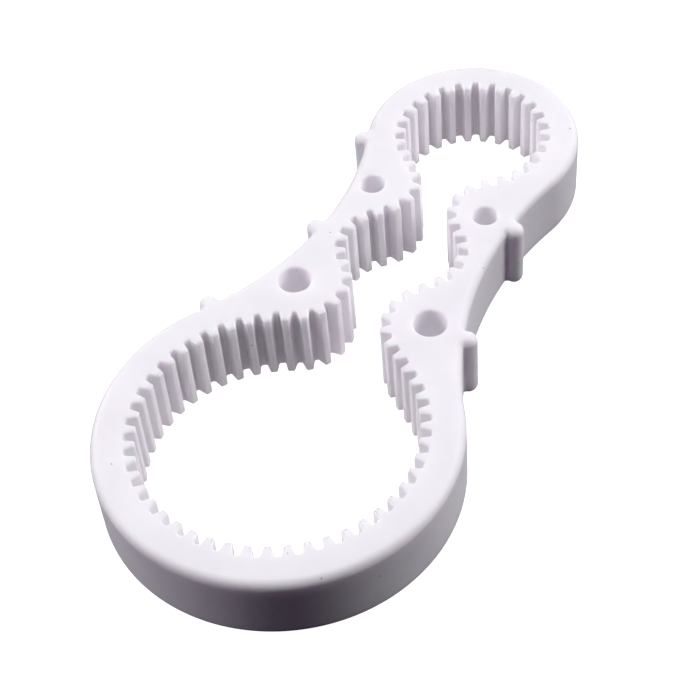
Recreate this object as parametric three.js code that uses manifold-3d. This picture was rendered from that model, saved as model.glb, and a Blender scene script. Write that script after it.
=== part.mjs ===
// Closed-loop internal rack: one moulded plastic track with teeth all round its inner wall.
// A wide ring and a small loop are joined by a channel between two pairs of rounded lobes,
// and a pinion that rolls round the inside is carried along the whole closed track.
// Millimetres, +Z up. The track lies flat on Z = 0 with its length along Y.

import * as THREE from 'three';
import { mergeVertices } from 'three/addons/utils/BufferGeometryUtils.js';
import Module from 'manifold-3d';

// ---- driving dimensions ----

const THICKNESS = 13.6;
const TOOTH_COUNT = 95;

// Pitch line of the teeth: tangent circles, with y measured from the ring's centre.
// Each side has a shoulder lobe, a recess and a neck lobe, with the same radii on both sides.
// The channel between them lies a little towards +X of the line through ring and loop.
const RING_RADIUS = 24;
const LOOP_RADIUS = 13.4;
const LOOP_Y = 76;
const SHOULDER_RADIUS = 8.9;
const RECESS_RADIUS = 8.8;
const NECK_RADIUS = 7.7;
const LEFT_LOBES = [
  { x: -12.85, y: 30.3, radius: SHOULDER_RADIUS },
  { x: -1.25, y: 43.9, radius: RECESS_RADIUS },
  { x: -11.05, y: 57.4, radius: NECK_RADIUS },
];
const RIGHT_LOBES = [
  { x: 14.3, y: 30.55, radius: SHOULDER_RADIUS },
  { x: 2.75, y: 44.65, radius: RECESS_RADIUS },
  { x: 12.25, y: 58.75, radius: NECK_RADIUS },
];

// Teeth, about the pitch line. The shift is the share of a pitch from the ring's far end,
// towards -X, to the gap nearest it.
const TOOTH_SHIFT = 0.15;
const ADDENDUM = 0.95;
const DEDENDUM = 0.95;
const TIP_WIDTH = 1.2;
const ROOT_WIDTH = 2.2;
const TIP_ROUNDING = 0.3;

// Outer wall, with a hollow waist on each side between the ring and the loop
const RING_OUTER_RADIUS = 30.5;
const LOOP_OUTER_RADIUS = 19.6;
const LEFT_WAIST_RADIUS = 57;
const RIGHT_WAIST_RADIUS = 66;
const EDGE_ROUNDING = 1.5;

// Half-round lugs on the outer wall, by their y from the ring's centre
const LUG_RADIUS = 1.7;
const LUG_PROJECTION = 2.3;
const LUG_ROOT_DEPTH = 2.5;
const LUGS = [
  { side: -1, y: 19.4 },
  { side: -1, y: 43.6 },
  { side: -1, y: 68 },
  { side: 1, y: 30 },
  { side: 1, y: 57 },
];

// Screw holes, one through each lobe
const HOLES = [
  { x: -12.75, y: 29.9, diameter: 5.8 },
  { x: 13, y: 30.2, diameter: 5.8 },
  { x: -11, y: 56.6, diameter: 4.4 },
  { x: 11, y: 57.2, diameter: 4.4 },
];

// ---- derived places ----

const LENGTH = RING_OUTER_RADIUS + LOOP_Y + LOOP_OUTER_RADIUS;
const RING_Y = RING_OUTER_RADIUS - LENGTH / 2;
const CUT_MARGIN = 1;
const ARC_STEP = THREE.MathUtils.degToRad(5);
const EDGE_SEGMENTS = 4;
const HOLE_SEGMENTS = 40;
const TIP_SEGMENTS = 2;

const wasm = await Module();
wasm.setup();

// ---- solids ----

function toSolid(geometry) {
  geometry.deleteAttribute('normal');
  geometry.deleteAttribute('uv');
  const merged = mergeVertices(geometry, 1e-5);
  return new wasm.Manifold(new wasm.Mesh({
    numProp: 3,
    vertProperties: new Float32Array(merged.attributes.position.array),
    triVerts: new Uint32Array(merged.index.array),
  }));
}

function toGeometry(solid) {
  const mesh = solid.getMesh();
  const geometry = new THREE.BufferGeometry();
  geometry.setAttribute('position', new THREE.BufferAttribute(mesh.vertProperties, 3));
  geometry.setIndex(new THREE.BufferAttribute(mesh.triVerts, 1));
  geometry.computeVertexNormals();
  return geometry;
}

// A prism that runs past both faces, for cutting right through
function throughCutter(shape) {
  const geometry = new THREE.ExtrudeGeometry(shape, {
    depth: THICKNESS + 2 * CUT_MARGIN,
    bevelEnabled: false,
    curveSegments: HOLE_SEGMENTS,
  });
  geometry.translate(0, 0, -CUT_MARGIN);
  return toSolid(geometry);
}

// A prism of the full thickness with both edges rounded
function roundedPrism(shape) {
  const geometry = new THREE.ExtrudeGeometry(shape, {
    depth: THICKNESS - 2 * EDGE_ROUNDING,
    bevelThickness: EDGE_ROUNDING,
    bevelSize: EDGE_ROUNDING,
    bevelOffset: -EDGE_ROUNDING,
    bevelSegments: EDGE_SEGMENTS,
    curveSegments: 1,
  });
  geometry.translate(0, 0, EDGE_ROUNDING);
  return toSolid(geometry);
}

// ---- outlines ----

// Point on a circle
function onCircle({ x, y, radius }, angle) {
  return new THREE.Vector2(x + radius * Math.cos(angle), y + radius * Math.sin(angle));
}

// Joins circles one after another by their crossing tangents. Every second circle is passed
// clockwise and the others the other way, starting with clockwise on the first, at -Y.
function tangentPath(circles) {
  const path = new THREE.Path();
  const start = -Math.PI / 2;
  let entry = start;
  circles.forEach((circle, i) => {
    const clockwise = i % 2 === 0;
    const next = circles[i + 1];
    let exit = start;
    if (next) {
      const across = Math.hypot(next.x - circle.x, next.y - circle.y);
      const heading = Math.atan2(next.y - circle.y, next.x - circle.x);
      const turn = Math.acos(Math.min(1, (circle.radius + next.radius) / across));
      exit = heading + (clockwise ? turn : -turn);
    }
    path.absarc(circle.x, circle.y, circle.radius, entry, exit, clockwise);
    entry = exit + Math.PI;
  });
  return path;
}

function pitchLine() {
  const ring = { x: 0, y: RING_Y, radius: RING_RADIUS };
  const loop = { x: 0, y: RING_Y + LOOP_Y, radius: LOOP_RADIUS };
  const [left, right] = [LEFT_LOBES, RIGHT_LOBES].map((side) => (
    side.map((lobe) => ({ ...lobe, y: RING_Y + lobe.y }))
  ));
  return tangentPath([ring, ...left, loop, ...right.reverse(), ring]);
}

// One tooth as [along the pitch line, towards the inside], from root corner to root corner
function toothProfile() {
  const flank = Math.atan2((ROOT_WIDTH - TIP_WIDTH) / 2, ADDENDUM + DEDENDUM);
  const sweep = Math.PI / 2 - flank;
  const setback = TIP_ROUNDING * Math.tan(sweep / 2);
  const half = [[-ROOT_WIDTH / 2, -DEDENDUM]];
  for (let i = 0; i <= TIP_SEGMENTS; i += 1) {
    const angle = Math.PI / 2 + sweep * (1 - i / TIP_SEGMENTS);
    half.push([
      -TIP_WIDTH / 2 + setback + TIP_ROUNDING * Math.cos(angle),
      ADDENDUM - TIP_ROUNDING + TIP_ROUNDING * Math.sin(angle),
    ]);
  }
  return [...half, ...half.map(([along, inward]) => [-along, inward]).reverse()];
}

// Outline of the open space inside the teeth
function toothedOutline() {
  const line = pitchLine();
  const profile = toothProfile();
  const points = [];
  for (let k = 0; k < TOOTH_COUNT; k += 1) {
    const t = (k + 0.5 + TOOTH_SHIFT) / TOOTH_COUNT;
    const centre = line.getPoint(t);
    const forward = line.getTangent(t);
    const inward = new THREE.Vector2(forward.y, -forward.x);
    profile.forEach(([along, height]) => {
      points.push(centre.clone().addScaledVector(forward, along).addScaledVector(inward, height));
    });
  }
  return new THREE.Shape(points);
}

// The large hollow curve between the ring and the loop: side is 1 on the +X side, -1 on the other
function waistCircle(side) {
  const radius = side > 0 ? RIGHT_WAIST_RADIUS : LEFT_WAIST_RADIUS;
  const toRing = RING_OUTER_RADIUS + radius;
  const toLoop = LOOP_OUTER_RADIUS + radius;
  const y = (LOOP_Y ** 2 + toRing ** 2 - toLoop ** 2) / (2 * LOOP_Y);
  return { x: side * Math.sqrt(toRing ** 2 - y ** 2), y: RING_Y + y, radius };
}

function angleTo(from, to) {
  return Math.atan2(to.y - from.y, to.x - from.x);
}

function arcPoints(circle, from, to) {
  const step = ARC_STEP * Math.min(1, RING_OUTER_RADIUS / circle.radius);
  const steps = Math.ceil(Math.abs(to - from) / step);
  return Array.from({ length: steps }, (_, i) => onCircle(circle, from + ((to - from) * i) / steps));
}

// The arcs are split at the ring's widest points and the loop's far end, to reach the full size
function outerOutline() {
  const ring = { x: 0, y: RING_Y, radius: RING_OUTER_RADIUS };
  const loop = { x: 0, y: RING_Y + LOOP_Y, radius: LOOP_OUTER_RADIUS };
  const right = waistCircle(1);
  const left = waistCircle(-1);
  const halfTurn = Math.PI;
  const fullTurn = 2 * Math.PI;
  return new THREE.Shape([
    ...arcPoints(ring, angleTo(ring, left) - fullTurn, -halfTurn),
    ...arcPoints(ring, -halfTurn, 0),
    ...arcPoints(ring, 0, angleTo(ring, right)),
    ...arcPoints(right, halfTurn + angleTo(ring, right), halfTurn + angleTo(loop, right)),
    ...arcPoints(loop, angleTo(loop, right), halfTurn / 2),
    ...arcPoints(loop, halfTurn / 2, angleTo(loop, left) + fullTurn),
    ...arcPoints(left, angleTo(loop, left) + halfTurn, angleTo(ring, left) - halfTurn),
  ]);
}

function holeShape({ x, y, diameter }) {
  const shape = new THREE.Shape();
  shape.absarc(x, RING_Y + y, diameter / 2, 0, 2 * Math.PI, false);
  return shape;
}

// Lug with straight sides and a half-round end, square to the waist
function lugShape({ side, y }) {
  const waist = waistCircle(side);
  const rise = (RING_Y + y - waist.y) / waist.radius;
  const surface = Math.abs(waist.x) - waist.radius * Math.cos(Math.asin(rise));
  const outward = Math.atan2(-rise, Math.sqrt(1 - rise ** 2));
  const end = LUG_PROJECTION - LUG_RADIUS;
  const local = [[-LUG_ROOT_DEPTH, LUG_RADIUS], [-LUG_ROOT_DEPTH, -LUG_RADIUS]];
  const turns = 12;
  for (let i = 0; i <= turns; i += 1) {
    const angle = -Math.PI / 2 + (Math.PI * i) / turns;
    local.push([end + LUG_RADIUS * Math.cos(angle), LUG_RADIUS * Math.sin(angle)]);
  }
  const points = local.map(([out, across]) => new THREE.Vector2(
    side * (surface + out * Math.cos(outward) - across * Math.sin(outward)),
    RING_Y + y + out * Math.sin(outward) + across * Math.cos(outward),
  ));
  return new THREE.Shape(side > 0 ? points : points.reverse());
}

// ---- the part ----

function closedLoopRack() {
  let rack = roundedPrism(outerOutline());
  LUGS.forEach((lug) => {
    rack = rack.add(roundedPrism(lugShape(lug)));
  });
  rack = rack.subtract(throughCutter(toothedOutline()));
  HOLES.forEach((hole) => {
    rack = rack.subtract(throughCutter(holeShape(hole)));
  });
  const whitePlastic = new THREE.MeshStandardMaterial({
    color: 0xefeef3,
    roughness: 0.45,
    metalness: 0,
  });
  const mesh = new THREE.Mesh(toGeometry(rack), whitePlastic);
  mesh.name = 'closed_loop_rack';
  return mesh;
}

const part = new THREE.Group();
part.add(closedLoopRack());

export default part;
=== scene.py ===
# Closed-loop internal rack: one moulded white plastic track with teeth all round its inner wall.
# The outlines are worked out in millimetres, in the CAD's frame, and scaled to metres in the mesh.

import math

import bmesh
import bpy
from mathutils import Euler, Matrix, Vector


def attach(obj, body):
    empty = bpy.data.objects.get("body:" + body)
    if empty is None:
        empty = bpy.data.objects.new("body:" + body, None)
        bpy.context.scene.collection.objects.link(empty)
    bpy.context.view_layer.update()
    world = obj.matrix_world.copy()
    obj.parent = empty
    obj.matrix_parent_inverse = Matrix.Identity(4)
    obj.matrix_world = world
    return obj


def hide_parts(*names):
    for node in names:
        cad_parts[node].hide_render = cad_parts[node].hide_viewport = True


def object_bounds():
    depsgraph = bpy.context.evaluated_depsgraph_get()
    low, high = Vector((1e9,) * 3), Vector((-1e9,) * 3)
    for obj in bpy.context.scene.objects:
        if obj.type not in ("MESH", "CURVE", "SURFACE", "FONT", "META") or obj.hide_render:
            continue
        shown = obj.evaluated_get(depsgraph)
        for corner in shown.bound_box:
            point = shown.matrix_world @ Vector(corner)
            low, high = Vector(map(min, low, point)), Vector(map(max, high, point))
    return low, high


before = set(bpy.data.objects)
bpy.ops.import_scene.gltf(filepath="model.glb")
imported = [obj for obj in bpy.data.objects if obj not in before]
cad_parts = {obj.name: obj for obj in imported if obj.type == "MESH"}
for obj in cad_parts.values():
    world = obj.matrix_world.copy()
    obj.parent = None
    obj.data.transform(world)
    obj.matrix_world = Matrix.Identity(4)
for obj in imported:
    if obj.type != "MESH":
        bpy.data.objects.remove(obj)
cad_box = [list(corner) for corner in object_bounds()]

# ---- driving dimensions, in millimetres ----

THICKNESS = 13.6
TOOTH_COUNT = 95

# Pitch line of the teeth: tangent circles (x, y, radius), with y measured from the ring's centre
RING_RADIUS = 24
LOOP_RADIUS = 13.4
LOOP_Y = 76
LEFT_LOBES = [(-12.85, 30.3, 8.9), (-1.25, 43.9, 8.8), (-11.05, 57.4, 7.7)]
RIGHT_LOBES = [(14.3, 30.55, 8.9), (2.75, 44.65, 8.8), (12.25, 58.75, 7.7)]

# Share of a pitch from the ring's far end, towards -X, to the gap nearest it
TOOTH_SHIFT = 0.15

# Teeth, about the pitch line
ADDENDUM = 0.95
DEDENDUM = 0.95
TIP_WIDTH = 1.2
ROOT_WIDTH = 2.2
TIP_ROUNDING = 0.3
ROOT_ROUNDING = 0.4
TOOTH_EDGE = 0.35

# Outer wall
RING_OUTER_RADIUS = 30.5
LOOP_OUTER_RADIUS = 19.6
LEFT_WAIST_RADIUS = 57
RIGHT_WAIST_RADIUS = 66
OUTER_EDGE = 1.5

# Half-round lugs on the outer wall, as (side, y from the ring's centre)
LUG_RADIUS = 1.7
LUG_PROJECTION = 2.3
LUG_FILLET = 0.5
LUGS = [(-1, 19.4), (-1, 43.6), (-1, 68), (1, 30), (1, 57)]

# Screw holes, as (x, y from the ring's centre, diameter)
HOLES = [(-12.75, 29.9, 5.8), (13, 30.2, 5.8), (-11, 56.6, 4.4), (11, 57.2, 4.4)]
HOLE_EDGE = 0.4

# Fineness: the most an arc turns from one point to the next, and the steps round corners and edges
ARC_STEP = math.radians(3)
WAIST_STEP = math.radians(1)
OUTER_ARC_STEP = math.radians(1.5)
LEAST_ARC_STEPS = 6
TOOTH_CORNER_STEPS = 4
OUTER_EDGE_STEPS = 9
TOOTH_EDGE_STEPS = 4
HOLE_EDGE_STEPS = 5

# Points nearer to each other than this count as one
SAME_POINT = 1e-4

LENGTH = RING_OUTER_RADIUS + LOOP_Y + LOOP_OUTER_RADIUS
RING_Y = RING_OUTER_RADIUS - LENGTH / 2
MM = 0.001
TURN = 2 * math.pi

# ---- outlines ----
# An outline is a closed list of (x, y, heading) with the material on the left of the way it runs,
# so the wall's normal is always to the right of the heading.


def polar(centre, reach, angle):
    """The point at a distance and an angle from a centre."""
    return centre[0] + reach * math.cos(angle), centre[1] + reach * math.sin(angle)


def arc(centre, radius, start, end, step=ARC_STEP):
    """Points along an arc, both ends included, anticlockwise when end is past start."""
    side = math.copysign(1, end - start)
    count = max(LEAST_ARC_STEPS, math.ceil(abs(end - start) / step))
    points = []
    for i in range(count + 1):
        angle = start + (end - start) * i / count
        points.append((*polar(centre, radius, angle), angle + side * math.pi / 2))
    return points


def rounded(corners):
    """Outline through corners (x, y, rounding), each replaced by an arc."""
    points = []
    for i, (x, y, radius) in enumerate(corners):
        before = corners[i - 1]
        after = corners[(i + 1) % len(corners)]
        arriving = math.atan2(y - before[1], x - before[0])
        leaving = math.atan2(after[1] - y, after[0] - x)
        turn = math.remainder(leaving - arriving, TURN)
        side = math.copysign(1, turn)
        setback = radius * math.tan(abs(turn) / 2)
        start_x = x - setback * math.cos(arriving)
        start_y = y - setback * math.sin(arriving)
        centre_x = start_x - side * radius * math.sin(arriving)
        centre_y = start_y + side * radius * math.cos(arriving)
        for k in range(TOOTH_CORNER_STEPS + 1):
            heading = arriving + turn * k / TOOTH_CORNER_STEPS
            point_x = centre_x + side * radius * math.sin(heading)
            point_y = centre_y - side * radius * math.cos(heading)
            points.append((point_x, point_y, heading))
    return points


def pitch_pieces():
    """The pitch line as arcs and straights: (length, function of distance along it).

    It runs clockwise round the ring, the loop and the two recesses, and anticlockwise round the
    lobes.
    """
    ring = (0, 0, RING_RADIUS)
    loop = (0, LOOP_Y, LOOP_RADIUS)
    circles = [ring, *LEFT_LOBES, loop, *reversed(RIGHT_LOBES), ring]
    entry = -math.pi / 2
    pieces = []
    for i, (x, y, radius) in enumerate(circles):
        side = -1 if i % 2 == 0 else 1
        straight = 0
        leave = -math.pi / 2
        if i + 1 < len(circles):
            next_x, next_y, next_radius = circles[i + 1]
            across = math.hypot(next_x - x, next_y - y)
            heading = math.atan2(next_y - y, next_x - x)
            reach = radius + next_radius
            leave = heading - side * math.acos(min(1, reach / across))
            straight = math.sqrt(max(0, across**2 - reach**2))
        sweep = side * ((side * (leave - entry)) % TURN)
        pieces.append(curved_piece(x, y, radius, entry, sweep, side))
        if straight:
            pieces.append(straight_piece(x, y, radius, leave, side, straight))
        entry = leave + math.pi
    return pieces


def curved_piece(x, y, radius, entry, sweep, side):
    """The part of the pitch line on one circle, from its entry angle."""

    def at(distance):
        angle = entry + side * distance / radius
        return (*polar((x, y), radius, angle), angle + side * math.pi / 2)

    return radius * abs(sweep), at


def straight_piece(x, y, radius, leave, side, length):
    """The part of the pitch line between two circles, along the tangent it leaves the first by."""
    heading = leave + side * math.pi / 2
    start = polar((x, y), radius, leave)

    def at(distance):
        return (*polar(start, distance, heading), heading)

    return length, at


def toothed_outline():
    """Outline of the open space inside the teeth."""
    pieces = pitch_pieces()
    total = sum(length for length, _ in pieces)
    profile = [
        (-ROOT_WIDTH / 2, -DEDENDUM, ROOT_ROUNDING),
        (-TIP_WIDTH / 2, ADDENDUM, TIP_ROUNDING),
        (TIP_WIDTH / 2, ADDENDUM, TIP_ROUNDING),
        (ROOT_WIDTH / 2, -DEDENDUM, ROOT_ROUNDING),
    ]
    corners = []
    for k in range(TOOTH_COUNT):
        distance = ((k + 0.5 + TOOTH_SHIFT) / TOOTH_COUNT * total) % total
        for length, at in pieces:
            if distance <= length:
                break
            distance -= length
        x, y, heading = at(distance)
        forward = (math.cos(heading), math.sin(heading))
        for along, inward, rounding in profile:
            corner_x = x + along * forward[0] + inward * forward[1]
            corner_y = y + along * forward[1] - inward * forward[0]
            corners.append((corner_x, corner_y, rounding))
    return rounded(corners)


def waist_circle(side):
    """The hollow curve between ring and loop: (centre, radius). Side is 1 on +X and -1 on -X."""
    radius = RIGHT_WAIST_RADIUS if side > 0 else LEFT_WAIST_RADIUS
    to_ring = RING_OUTER_RADIUS + radius
    to_loop = LOOP_OUTER_RADIUS + radius
    y = (LOOP_Y**2 + to_ring**2 - to_loop**2) / (2 * LOOP_Y)
    return (side * math.sqrt(to_ring**2 - y**2), y), radius


def waist_with_lugs(side):
    """One waist of the outer wall and its lugs: ring to loop on the +X side, back on the other."""
    centre, radius = waist_circle(side)

    def towards_track(rise):
        return math.pi - rise if side > 0 else rise

    at_ring = towards_track(math.asin(-centre[1] / (radius + RING_OUTER_RADIUS)))
    at_loop = towards_track(math.asin((LOOP_Y - centre[1]) / (radius + LOOP_OUTER_RADIUS)))
    start, end = (at_ring, at_loop) if side > 0 else (at_loop, at_ring)
    quarter = math.pi / 2
    fillet_reach = radius - LUG_FILLET
    lug_reach = radius - (LUG_PROJECTION - LUG_RADIUS)
    fillet_turn = math.asin((LUG_RADIUS + LUG_FILLET) / fillet_reach)
    points = []
    for lug_y in sorted((y for lug_side, y in LUGS if lug_side == side), key=lambda y: side * y):
        middle = towards_track(math.asin((lug_y - centre[1]) / radius))
        first = middle + fillet_turn
        last = middle - fillet_turn
        # A lug at the very end of the waist has no curve before it
        if first < start:
            points += arc(centre, radius, start, first, WAIST_STEP)
        points += arc(polar(centre, fillet_reach, first), LUG_FILLET, first, middle - quarter)
        lug_start = middle + quarter
        lug_end = middle + 3 * quarter
        points += arc(polar(centre, lug_reach, middle), LUG_RADIUS, lug_start, lug_end)
        points += arc(polar(centre, fillet_reach, last), LUG_FILLET, middle + quarter, last)
        start = last
    points += arc(centre, radius, start, end, WAIST_STEP)
    return points


def outer_outline():
    """The outer wall, anticlockwise: ring, right waist, loop, left waist.

    The ring's and the loop's arcs run from one waist's end to the other's start, because a lug can
    stand past the point where a waist meets them.
    """
    right = waist_with_lugs(1)
    left = waist_with_lugs(-1)
    ring_start = math.atan2(left[-1][1], left[-1][0]) - TURN
    ring_end = math.atan2(right[0][1], right[0][0])
    loop_start = math.atan2(right[-1][1] - LOOP_Y, right[-1][0])
    loop_end = math.atan2(left[0][1] - LOOP_Y, left[0][0]) + TURN
    points = arc((0, 0), RING_OUTER_RADIUS, ring_start, ring_end, OUTER_ARC_STEP)
    points += right
    points += arc((0, LOOP_Y), LOOP_OUTER_RADIUS, loop_start, loop_end, OUTER_ARC_STEP)
    points += left
    return points


def hole_outline(x, y, diameter):
    """A hole's wall, clockwise so that the material is on the left."""
    return arc((x, y), diameter / 2, TURN, 0)[:-1]


def without_repeats(outline):
    """Drops points that fall on the one before, where an arc meets the next."""
    kept = []
    for point in outline:
        if not kept or math.dist(point[:2], kept[-1][:2]) > SAME_POINT:
            kept.append(point)
    if math.dist(kept[0][:2], kept[-1][:2]) <= SAME_POINT:
        kept.pop()
    return kept


# ---- the moulding ----


def edge_profile(rounding, steps):
    """A wall's section from its foot to its top: (inset, height, tilt of the normal)."""
    section = []
    for i in range(-steps, steps + 1):
        tilt = math.pi / 2 * i / steps
        inset = rounding * (1 - math.cos(tilt))
        drop = rounding * (1 - abs(math.sin(tilt)))
        if i <= 0:
            section.append((inset, drop, tilt))
        if i >= 0:
            section.append((inset, THICKNESS - drop, tilt))
    return section


def add_wall(mesh, normals, outline, section):
    """Lofts a wall along an outline, and returns its foot's and its top's edges."""
    rows = []
    for inset, height, tilt in section:
        row = []
        for x, y, heading in outline:
            out_x = math.sin(heading)
            out_y = -math.cos(heading)
            place = (x - inset * out_x, RING_Y + y - inset * out_y, height)
            row.append(mesh.verts.new(Vector(place) * MM))
            flat = math.cos(tilt)
            normals.append((out_x * flat, out_y * flat, math.sin(tilt)))
        rows.append(row)
    count = len(outline)
    for lower, upper in zip(rows, rows[1:]):
        for i in range(count):
            j = (i + 1) % count
            mesh.faces.new((lower[i], lower[j], upper[j], upper[i]))
    ends = []
    for row in (rows[0], rows[-1]):
        ends.append([mesh.edges.get((row[i], row[(i + 1) % count])) for i in range(count)])
    return ends


def build_track():
    """One closed mesh: outer, toothed and hole walls between a flat underside and a flat top."""
    mesh = bmesh.new()
    normals = []
    walls = [(outer_outline(), edge_profile(OUTER_EDGE, OUTER_EDGE_STEPS))]
    walls.append((toothed_outline(), edge_profile(TOOTH_EDGE, TOOTH_EDGE_STEPS)))
    for hole in HOLES:
        walls.append((hole_outline(*hole), edge_profile(HOLE_EDGE, HOLE_EDGE_STEPS)))
    foot = []
    top = []
    for outline, section in walls:
        lower, upper = add_wall(mesh, normals, without_repeats(outline), section)
        foot += lower
        top += upper
    bmesh.ops.triangle_fill(mesh, edges=foot, use_beauty=True, normal=(0, 0, -1))
    bmesh.ops.triangle_fill(mesh, edges=top, use_beauty=True, normal=(0, 0, 1))
    data = bpy.data.meshes.new("white_track")
    mesh.to_mesh(data)
    mesh.free()
    data.shade_smooth()
    data.normals_split_custom_set_from_vertices(normals)
    track = bpy.data.objects.new("white_track", data)
    bpy.context.scene.collection.objects.link(track)
    return track


# ---- materials ----
# Texture scales are in cells per metre, in each piece's own coordinates.

CLOUD_SCALE = 90
CLOUD_DETAIL = 6
CLOUD_STOPS = [(0.3, (0.83, 0.832, 0.852)), (0.7, (0.872, 0.874, 0.894))]
CLOUD_ROUGHNESS = (0.36, 0.48)

# A speck is the middle of a cell, and only the cells above a high random value have one
SPECK_CELLS = 600
SPECK_SIZE_STOPS = [(0.07, (1, 1, 1)), (0.12, (0, 0, 0))]
SPECK_CHANCE_STOPS = [(0.82, (0, 0, 0)), (0.84, (1, 1, 1))]
SPECK_COLOUR = (0.45, 0.42, 0.46)

GRAIN_SCALE = 2400
GRAIN_DETAIL = 2
GRAIN_STRENGTH = 0.12
GRAIN_HEIGHT = 0.00004

ACETAL_IOR = 1.48
ACETAL_SPECULAR = 0.35
SCATTER_RADIUS = (1, 0.85, 0.95)
SCATTER_DEPTH = 0.002

# The darker patches of matt paper have this share of its paleness
PAPER_MOTTLE = 0.98
PAPER_MOTTLE_SCALE = 6
PAPER_MOTTLE_BOUNDS = (0.3, 0.7)
PAPER_ROUGHNESS = 0.9
PAPER_SPECULAR = 0.1


def node_material(name):
    """A new node material: (material, adder of nodes, adder of links, Principled node)."""
    material = bpy.data.materials.new(name)
    material.use_nodes = True
    tree = material.node_tree
    return material, tree.nodes.new, tree.links.new, tree.nodes["Principled BSDF"]


def ramp(add, stops):
    """A colour ramp node with two (position, colour) stops."""
    node = add("ShaderNodeValToRGB")
    for element, (position, colour) in zip(node.color_ramp.elements, stops):
        element.position = position
        element.color = (*colour, 1)
    return node


def white_plastic():
    """Satin white acetal: faint cloudiness, a very fine grain and a few tiny grey specks."""
    material, add, link, surface = node_material("white_acetal")
    place = add("ShaderNodeTexCoord").outputs["Object"]

    clouds = add("ShaderNodeTexNoise")
    clouds.inputs["Scale"].default_value = CLOUD_SCALE
    clouds.inputs["Detail"].default_value = CLOUD_DETAIL
    link(place, clouds.inputs["Vector"])
    tint = ramp(add, CLOUD_STOPS)
    link(clouds.outputs["Fac"], tint.inputs["Fac"])

    cells = add("ShaderNodeTexVoronoi")
    cells.inputs["Scale"].default_value = SPECK_CELLS
    link(place, cells.inputs["Vector"])
    dots = ramp(add, SPECK_SIZE_STOPS)
    link(cells.outputs["Distance"], dots.inputs["Fac"])
    sparse = ramp(add, SPECK_CHANCE_STOPS)
    link(cells.outputs["Color"], sparse.inputs["Fac"])
    speck = add("ShaderNodeMath")
    speck.operation = "MULTIPLY"
    link(dots.outputs["Color"], speck.inputs[0])
    link(sparse.outputs["Color"], speck.inputs[1])
    colour = add("ShaderNodeMix")
    colour.data_type = "RGBA"
    colour.inputs["B"].default_value = (*SPECK_COLOUR, 1)
    link(speck.outputs["Value"], colour.inputs["Factor"])
    link(tint.outputs["Color"], colour.inputs["A"])
    link(colour.outputs["Result"], surface.inputs["Base Color"])

    satin = add("ShaderNodeMapRange")
    satin.inputs["To Min"].default_value = CLOUD_ROUGHNESS[0]
    satin.inputs["To Max"].default_value = CLOUD_ROUGHNESS[1]
    link(clouds.outputs["Fac"], satin.inputs["Value"])
    link(satin.outputs["Result"], surface.inputs["Roughness"])

    grain = add("ShaderNodeTexNoise")
    grain.inputs["Scale"].default_value = GRAIN_SCALE
    grain.inputs["Detail"].default_value = GRAIN_DETAIL
    link(place, grain.inputs["Vector"])
    bump = add("ShaderNodeBump")
    bump.inputs["Strength"].default_value = GRAIN_STRENGTH
    bump.inputs["Distance"].default_value = GRAIN_HEIGHT
    link(grain.outputs["Fac"], bump.inputs["Height"])
    link(bump.outputs["Normal"], surface.inputs["Normal"])

    surface.inputs["IOR"].default_value = ACETAL_IOR
    surface.inputs["Specular IOR Level"].default_value = ACETAL_SPECULAR
    surface.inputs["Subsurface Weight"].default_value = 1
    surface.inputs["Subsurface Radius"].default_value = SCATTER_RADIUS
    surface.inputs["Subsurface Scale"].default_value = SCATTER_DEPTH
    return material


def glowing_surface(name, paleness, glow, tone=(1, 1, 1)):
    """Matt paper that also glows."""
    material, add, link, surface = node_material(name)
    place = add("ShaderNodeTexCoord").outputs["Object"]
    mottle = add("ShaderNodeTexNoise")
    mottle.inputs["Scale"].default_value = PAPER_MOTTLE_SCALE
    link(place, mottle.inputs["Vector"])
    shades = [[PAPER_MOTTLE * paleness] * 3, [paleness] * 3]
    tint = ramp(add, list(zip(PAPER_MOTTLE_BOUNDS, shades)))
    link(mottle.outputs["Fac"], tint.inputs["Fac"])
    link(tint.outputs["Color"], surface.inputs["Base Color"])
    surface.inputs["Roughness"].default_value = PAPER_ROUGHNESS
    surface.inputs["Specular IOR Level"].default_value = PAPER_SPECULAR
    surface.inputs["Emission Color"].default_value = (*tone, 1)
    surface.inputs["Emission Strength"].default_value = glow
    return material


# ---- stage ----

# Directions are compass headings in degrees, clockwise from +Y as seen from above.
# The camera looks along VIEW_HEADING.

# Camera: angles in degrees, lengths in millimetres. It aims at a point on the top face.
AIM_FROM_TOP_CENTRE = (3.38, -13.19)
VIEW_HEADING = -31.11
VIEW_ELEVATION = 48.93
VIEW_ROLL = 5.45
VIEW_DISTANCE = 290.3
LENS = 89.7
SENSOR_WIDTH = 36

# The nearest the camera sees, in metres
CLIP_START = 0.01

# Floor, in metres
FLOOR_SIZE = 3
FLOOR_GAP = 0.0001
FLOOR_PALENESS = 0.95
FLOOR_GLOW = 1

# Colour of the surround
AMBIENT = (0.016, 0.009, 0.022)

# Glowing cards between the floor and the track: the large one's inset from the outer wall is in
# millimetres, and the height of each layer above the floor is in metres
CARD_INSET = 3
CARD_RISE = FLOOR_GAP / 3
SMALL_CARD_RISE = FLOOR_GAP * 2 / 3
CARD_GLOW = 0.33
CARD_PALENESS = 0.05
CARD_TONE = (1, 0.88, 0.97)

# Round cards above the large one: (radius, glow) under each hole, and (x, y from the ring's centre,
# radius, glow) under the channel, the recess between the lobes and the loop
HOLE_CARDS = [(3.5, 1.9), (3.5, 1.6), (3, 4.4), (3, 4)]
OPENING_CARDS = [(0.7, 27, 5, 0.9), (0.8, 44.3, 7, 0.8), (0, LOOP_Y, 11, 0.9)]

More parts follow.
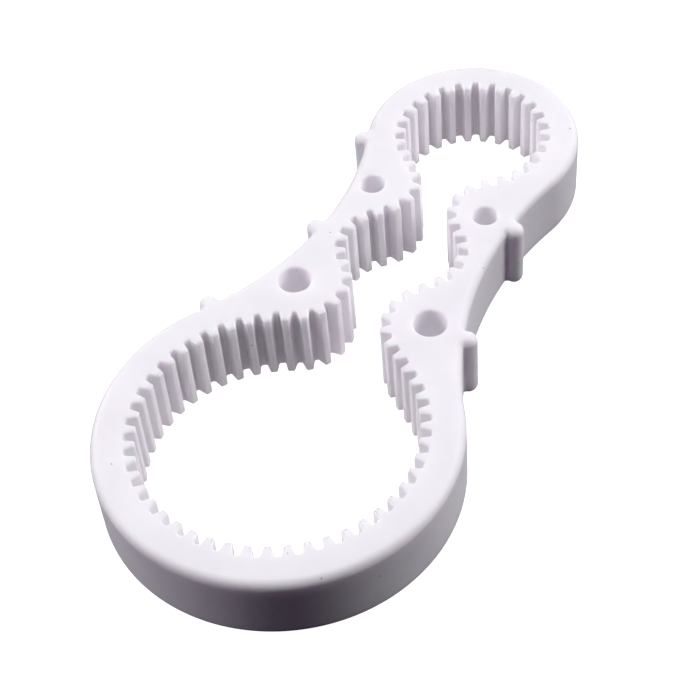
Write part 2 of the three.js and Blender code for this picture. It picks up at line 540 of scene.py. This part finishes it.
# Soft boxes: distance and size in metres, then name, heading and elevation seen from the track,
# watts and colour
SOFT_BOX_DISTANCE = 0.8
SOFT_BOX_SIZE = 0.45
SOFT_BOXES = [
    ("left_light", VIEW_HEADING - 90, 30, 3.35, (0.98, 0.91, 1)),
    ("right_light", VIEW_HEADING + 90, 30, 3.4, (1, 0.96, 0.99)),
    ("back_left_light", VIEW_HEADING - 45, 30, 2.15, (0.98, 1, 0.96)),
    ("back_left_high_light", VIEW_HEADING - 60, 58, 0.5, (0.9, 1, 0.85)),
    ("back_right_light", VIEW_HEADING + 70, 58, 2.7, (0.98, 0.94, 1)),
    ("back_right_low_light", VIEW_HEADING + 45, 10, 1.2, (0.94, 0.98, 1)),
]


def aim_at(obj, target):
    """Turns a lamp to face a point."""
    obj.rotation_euler = (target - obj.location).to_track_quat("-Z", "Y").to_euler()


def soft_box(name, heading, elevation, watts, colour, target):
    """A round soft light that faces the target and isn't seen by the camera."""
    data = bpy.data.lights.new(name, "AREA")
    data.shape = "DISK"
    data.size = SOFT_BOX_SIZE
    data.energy = watts
    data.color = colour
    light = bpy.data.objects.new(name, data)
    turn = math.radians(heading)
    rise = math.radians(elevation)
    level = math.cos(rise)
    away = Vector((math.sin(turn) * level, math.cos(turn) * level, math.sin(rise)))
    light.location = target + away * SOFT_BOX_DISTANCE
    aim_at(light, target)
    light.visible_camera = False
    bpy.context.scene.collection.objects.link(light)


def add_camera(top_centre):
    """The camera, set by its aim, heading, elevation, roll and distance."""
    data = bpy.data.cameras.new("camera")
    data.lens = LENS
    data.sensor_width = SENSOR_WIDTH
    data.clip_start = CLIP_START
    camera = bpy.data.objects.new("camera", data)
    aim = top_centre + Vector((*AIM_FROM_TOP_CENTRE, 0)) * MM
    swing = Euler((math.radians(90 - VIEW_ELEVATION), 0, math.radians(-VIEW_HEADING)))
    turned = swing.to_matrix() @ Euler((0, 0, math.radians(-VIEW_ROLL))).to_matrix()
    camera.location = aim + turned @ Vector((0, 0, VIEW_DISTANCE * MM))
    camera.rotation_euler = turned.to_euler()
    bpy.context.scene.collection.objects.link(camera)
    bpy.context.scene.camera = camera


def add_floor(material):
    """The pale floor, just under the track, which shows white but casts no light on it."""
    height = cad_box[0][2] - FLOOR_GAP
    bpy.ops.mesh.primitive_plane_add(size=FLOOR_SIZE, location=(0, 0, height))
    floor = bpy.context.object
    floor.name = "floor"
    floor.data.materials.append(material)
    floor.visible_diffuse = False
    floor.visible_glossy = False


def add_card(name, corners, rise, material):
    """A glowing card lying on the floor under the track, which lights the openings from below."""
    mesh = bmesh.new()
    rim = [mesh.verts.new(Vector((x, y, 0)) * MM) for x, y in corners]
    mesh.faces.new(rim)
    data = bpy.data.meshes.new(name)
    mesh.to_mesh(data)
    mesh.free()
    card = bpy.data.objects.new(name, data)
    card.location.z = cad_box[0][2] - FLOOR_GAP + rise
    card.data.materials.append(material)
    card.visible_camera = False
    bpy.context.scene.collection.objects.link(card)


def add_cards():
    """A large card inside the whole outer wall, and round ones under the holes and openings."""
    corners = []
    for x, y, heading in without_repeats(outer_outline()):
        corner_x = x - CARD_INSET * math.sin(heading)
        corner_y = RING_Y + y + CARD_INSET * math.cos(heading)
        corners.append((corner_x, corner_y))
    large = glowing_surface("card", CARD_PALENESS, CARD_GLOW, CARD_TONE)
    add_card("card", corners, CARD_RISE, large)
    round_cards = [(x, y, *card) for (x, y, _), card in zip(HOLES, HOLE_CARDS)] + OPENING_CARDS
    for i, (x, y, radius, glow) in enumerate(round_cards):
        name = f"small_card_{i}"
        circle = [point[:2] for point in arc((x, RING_Y + y), radius, 0, TURN)[:-1]]
        material = glowing_surface(name, CARD_PALENESS, glow, CARD_TONE)
        add_card(name, circle, SMALL_CARD_RISE, material)


def add_world():
    """A very dim, slightly violet surround."""
    world = bpy.data.worlds.new("studio")
    world.use_nodes = True
    background = world.node_tree.nodes["Background"]
    background.inputs["Color"].default_value = (*AMBIENT, 1)
    background.inputs["Strength"].default_value = 1
    bpy.context.scene.world = world


track = build_track()
track.data.materials.append(white_plastic())
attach(track, "root")
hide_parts("closed_loop_rack")

add_floor(glowing_surface("pale_floor", FLOOR_PALENESS, FLOOR_GLOW))
add_cards()
add_world()
box_low, box_high = (Vector(corner) for corner in cad_box)
box_middle = (box_low + box_high) / 2
top_centre = Vector((box_middle.x, box_middle.y, box_high.z))
for settings in SOFT_BOXES:
    soft_box(*settings, top_centre)
add_camera(top_centre)
bpy.context.scene.view_settings.view_transform = "Standard"
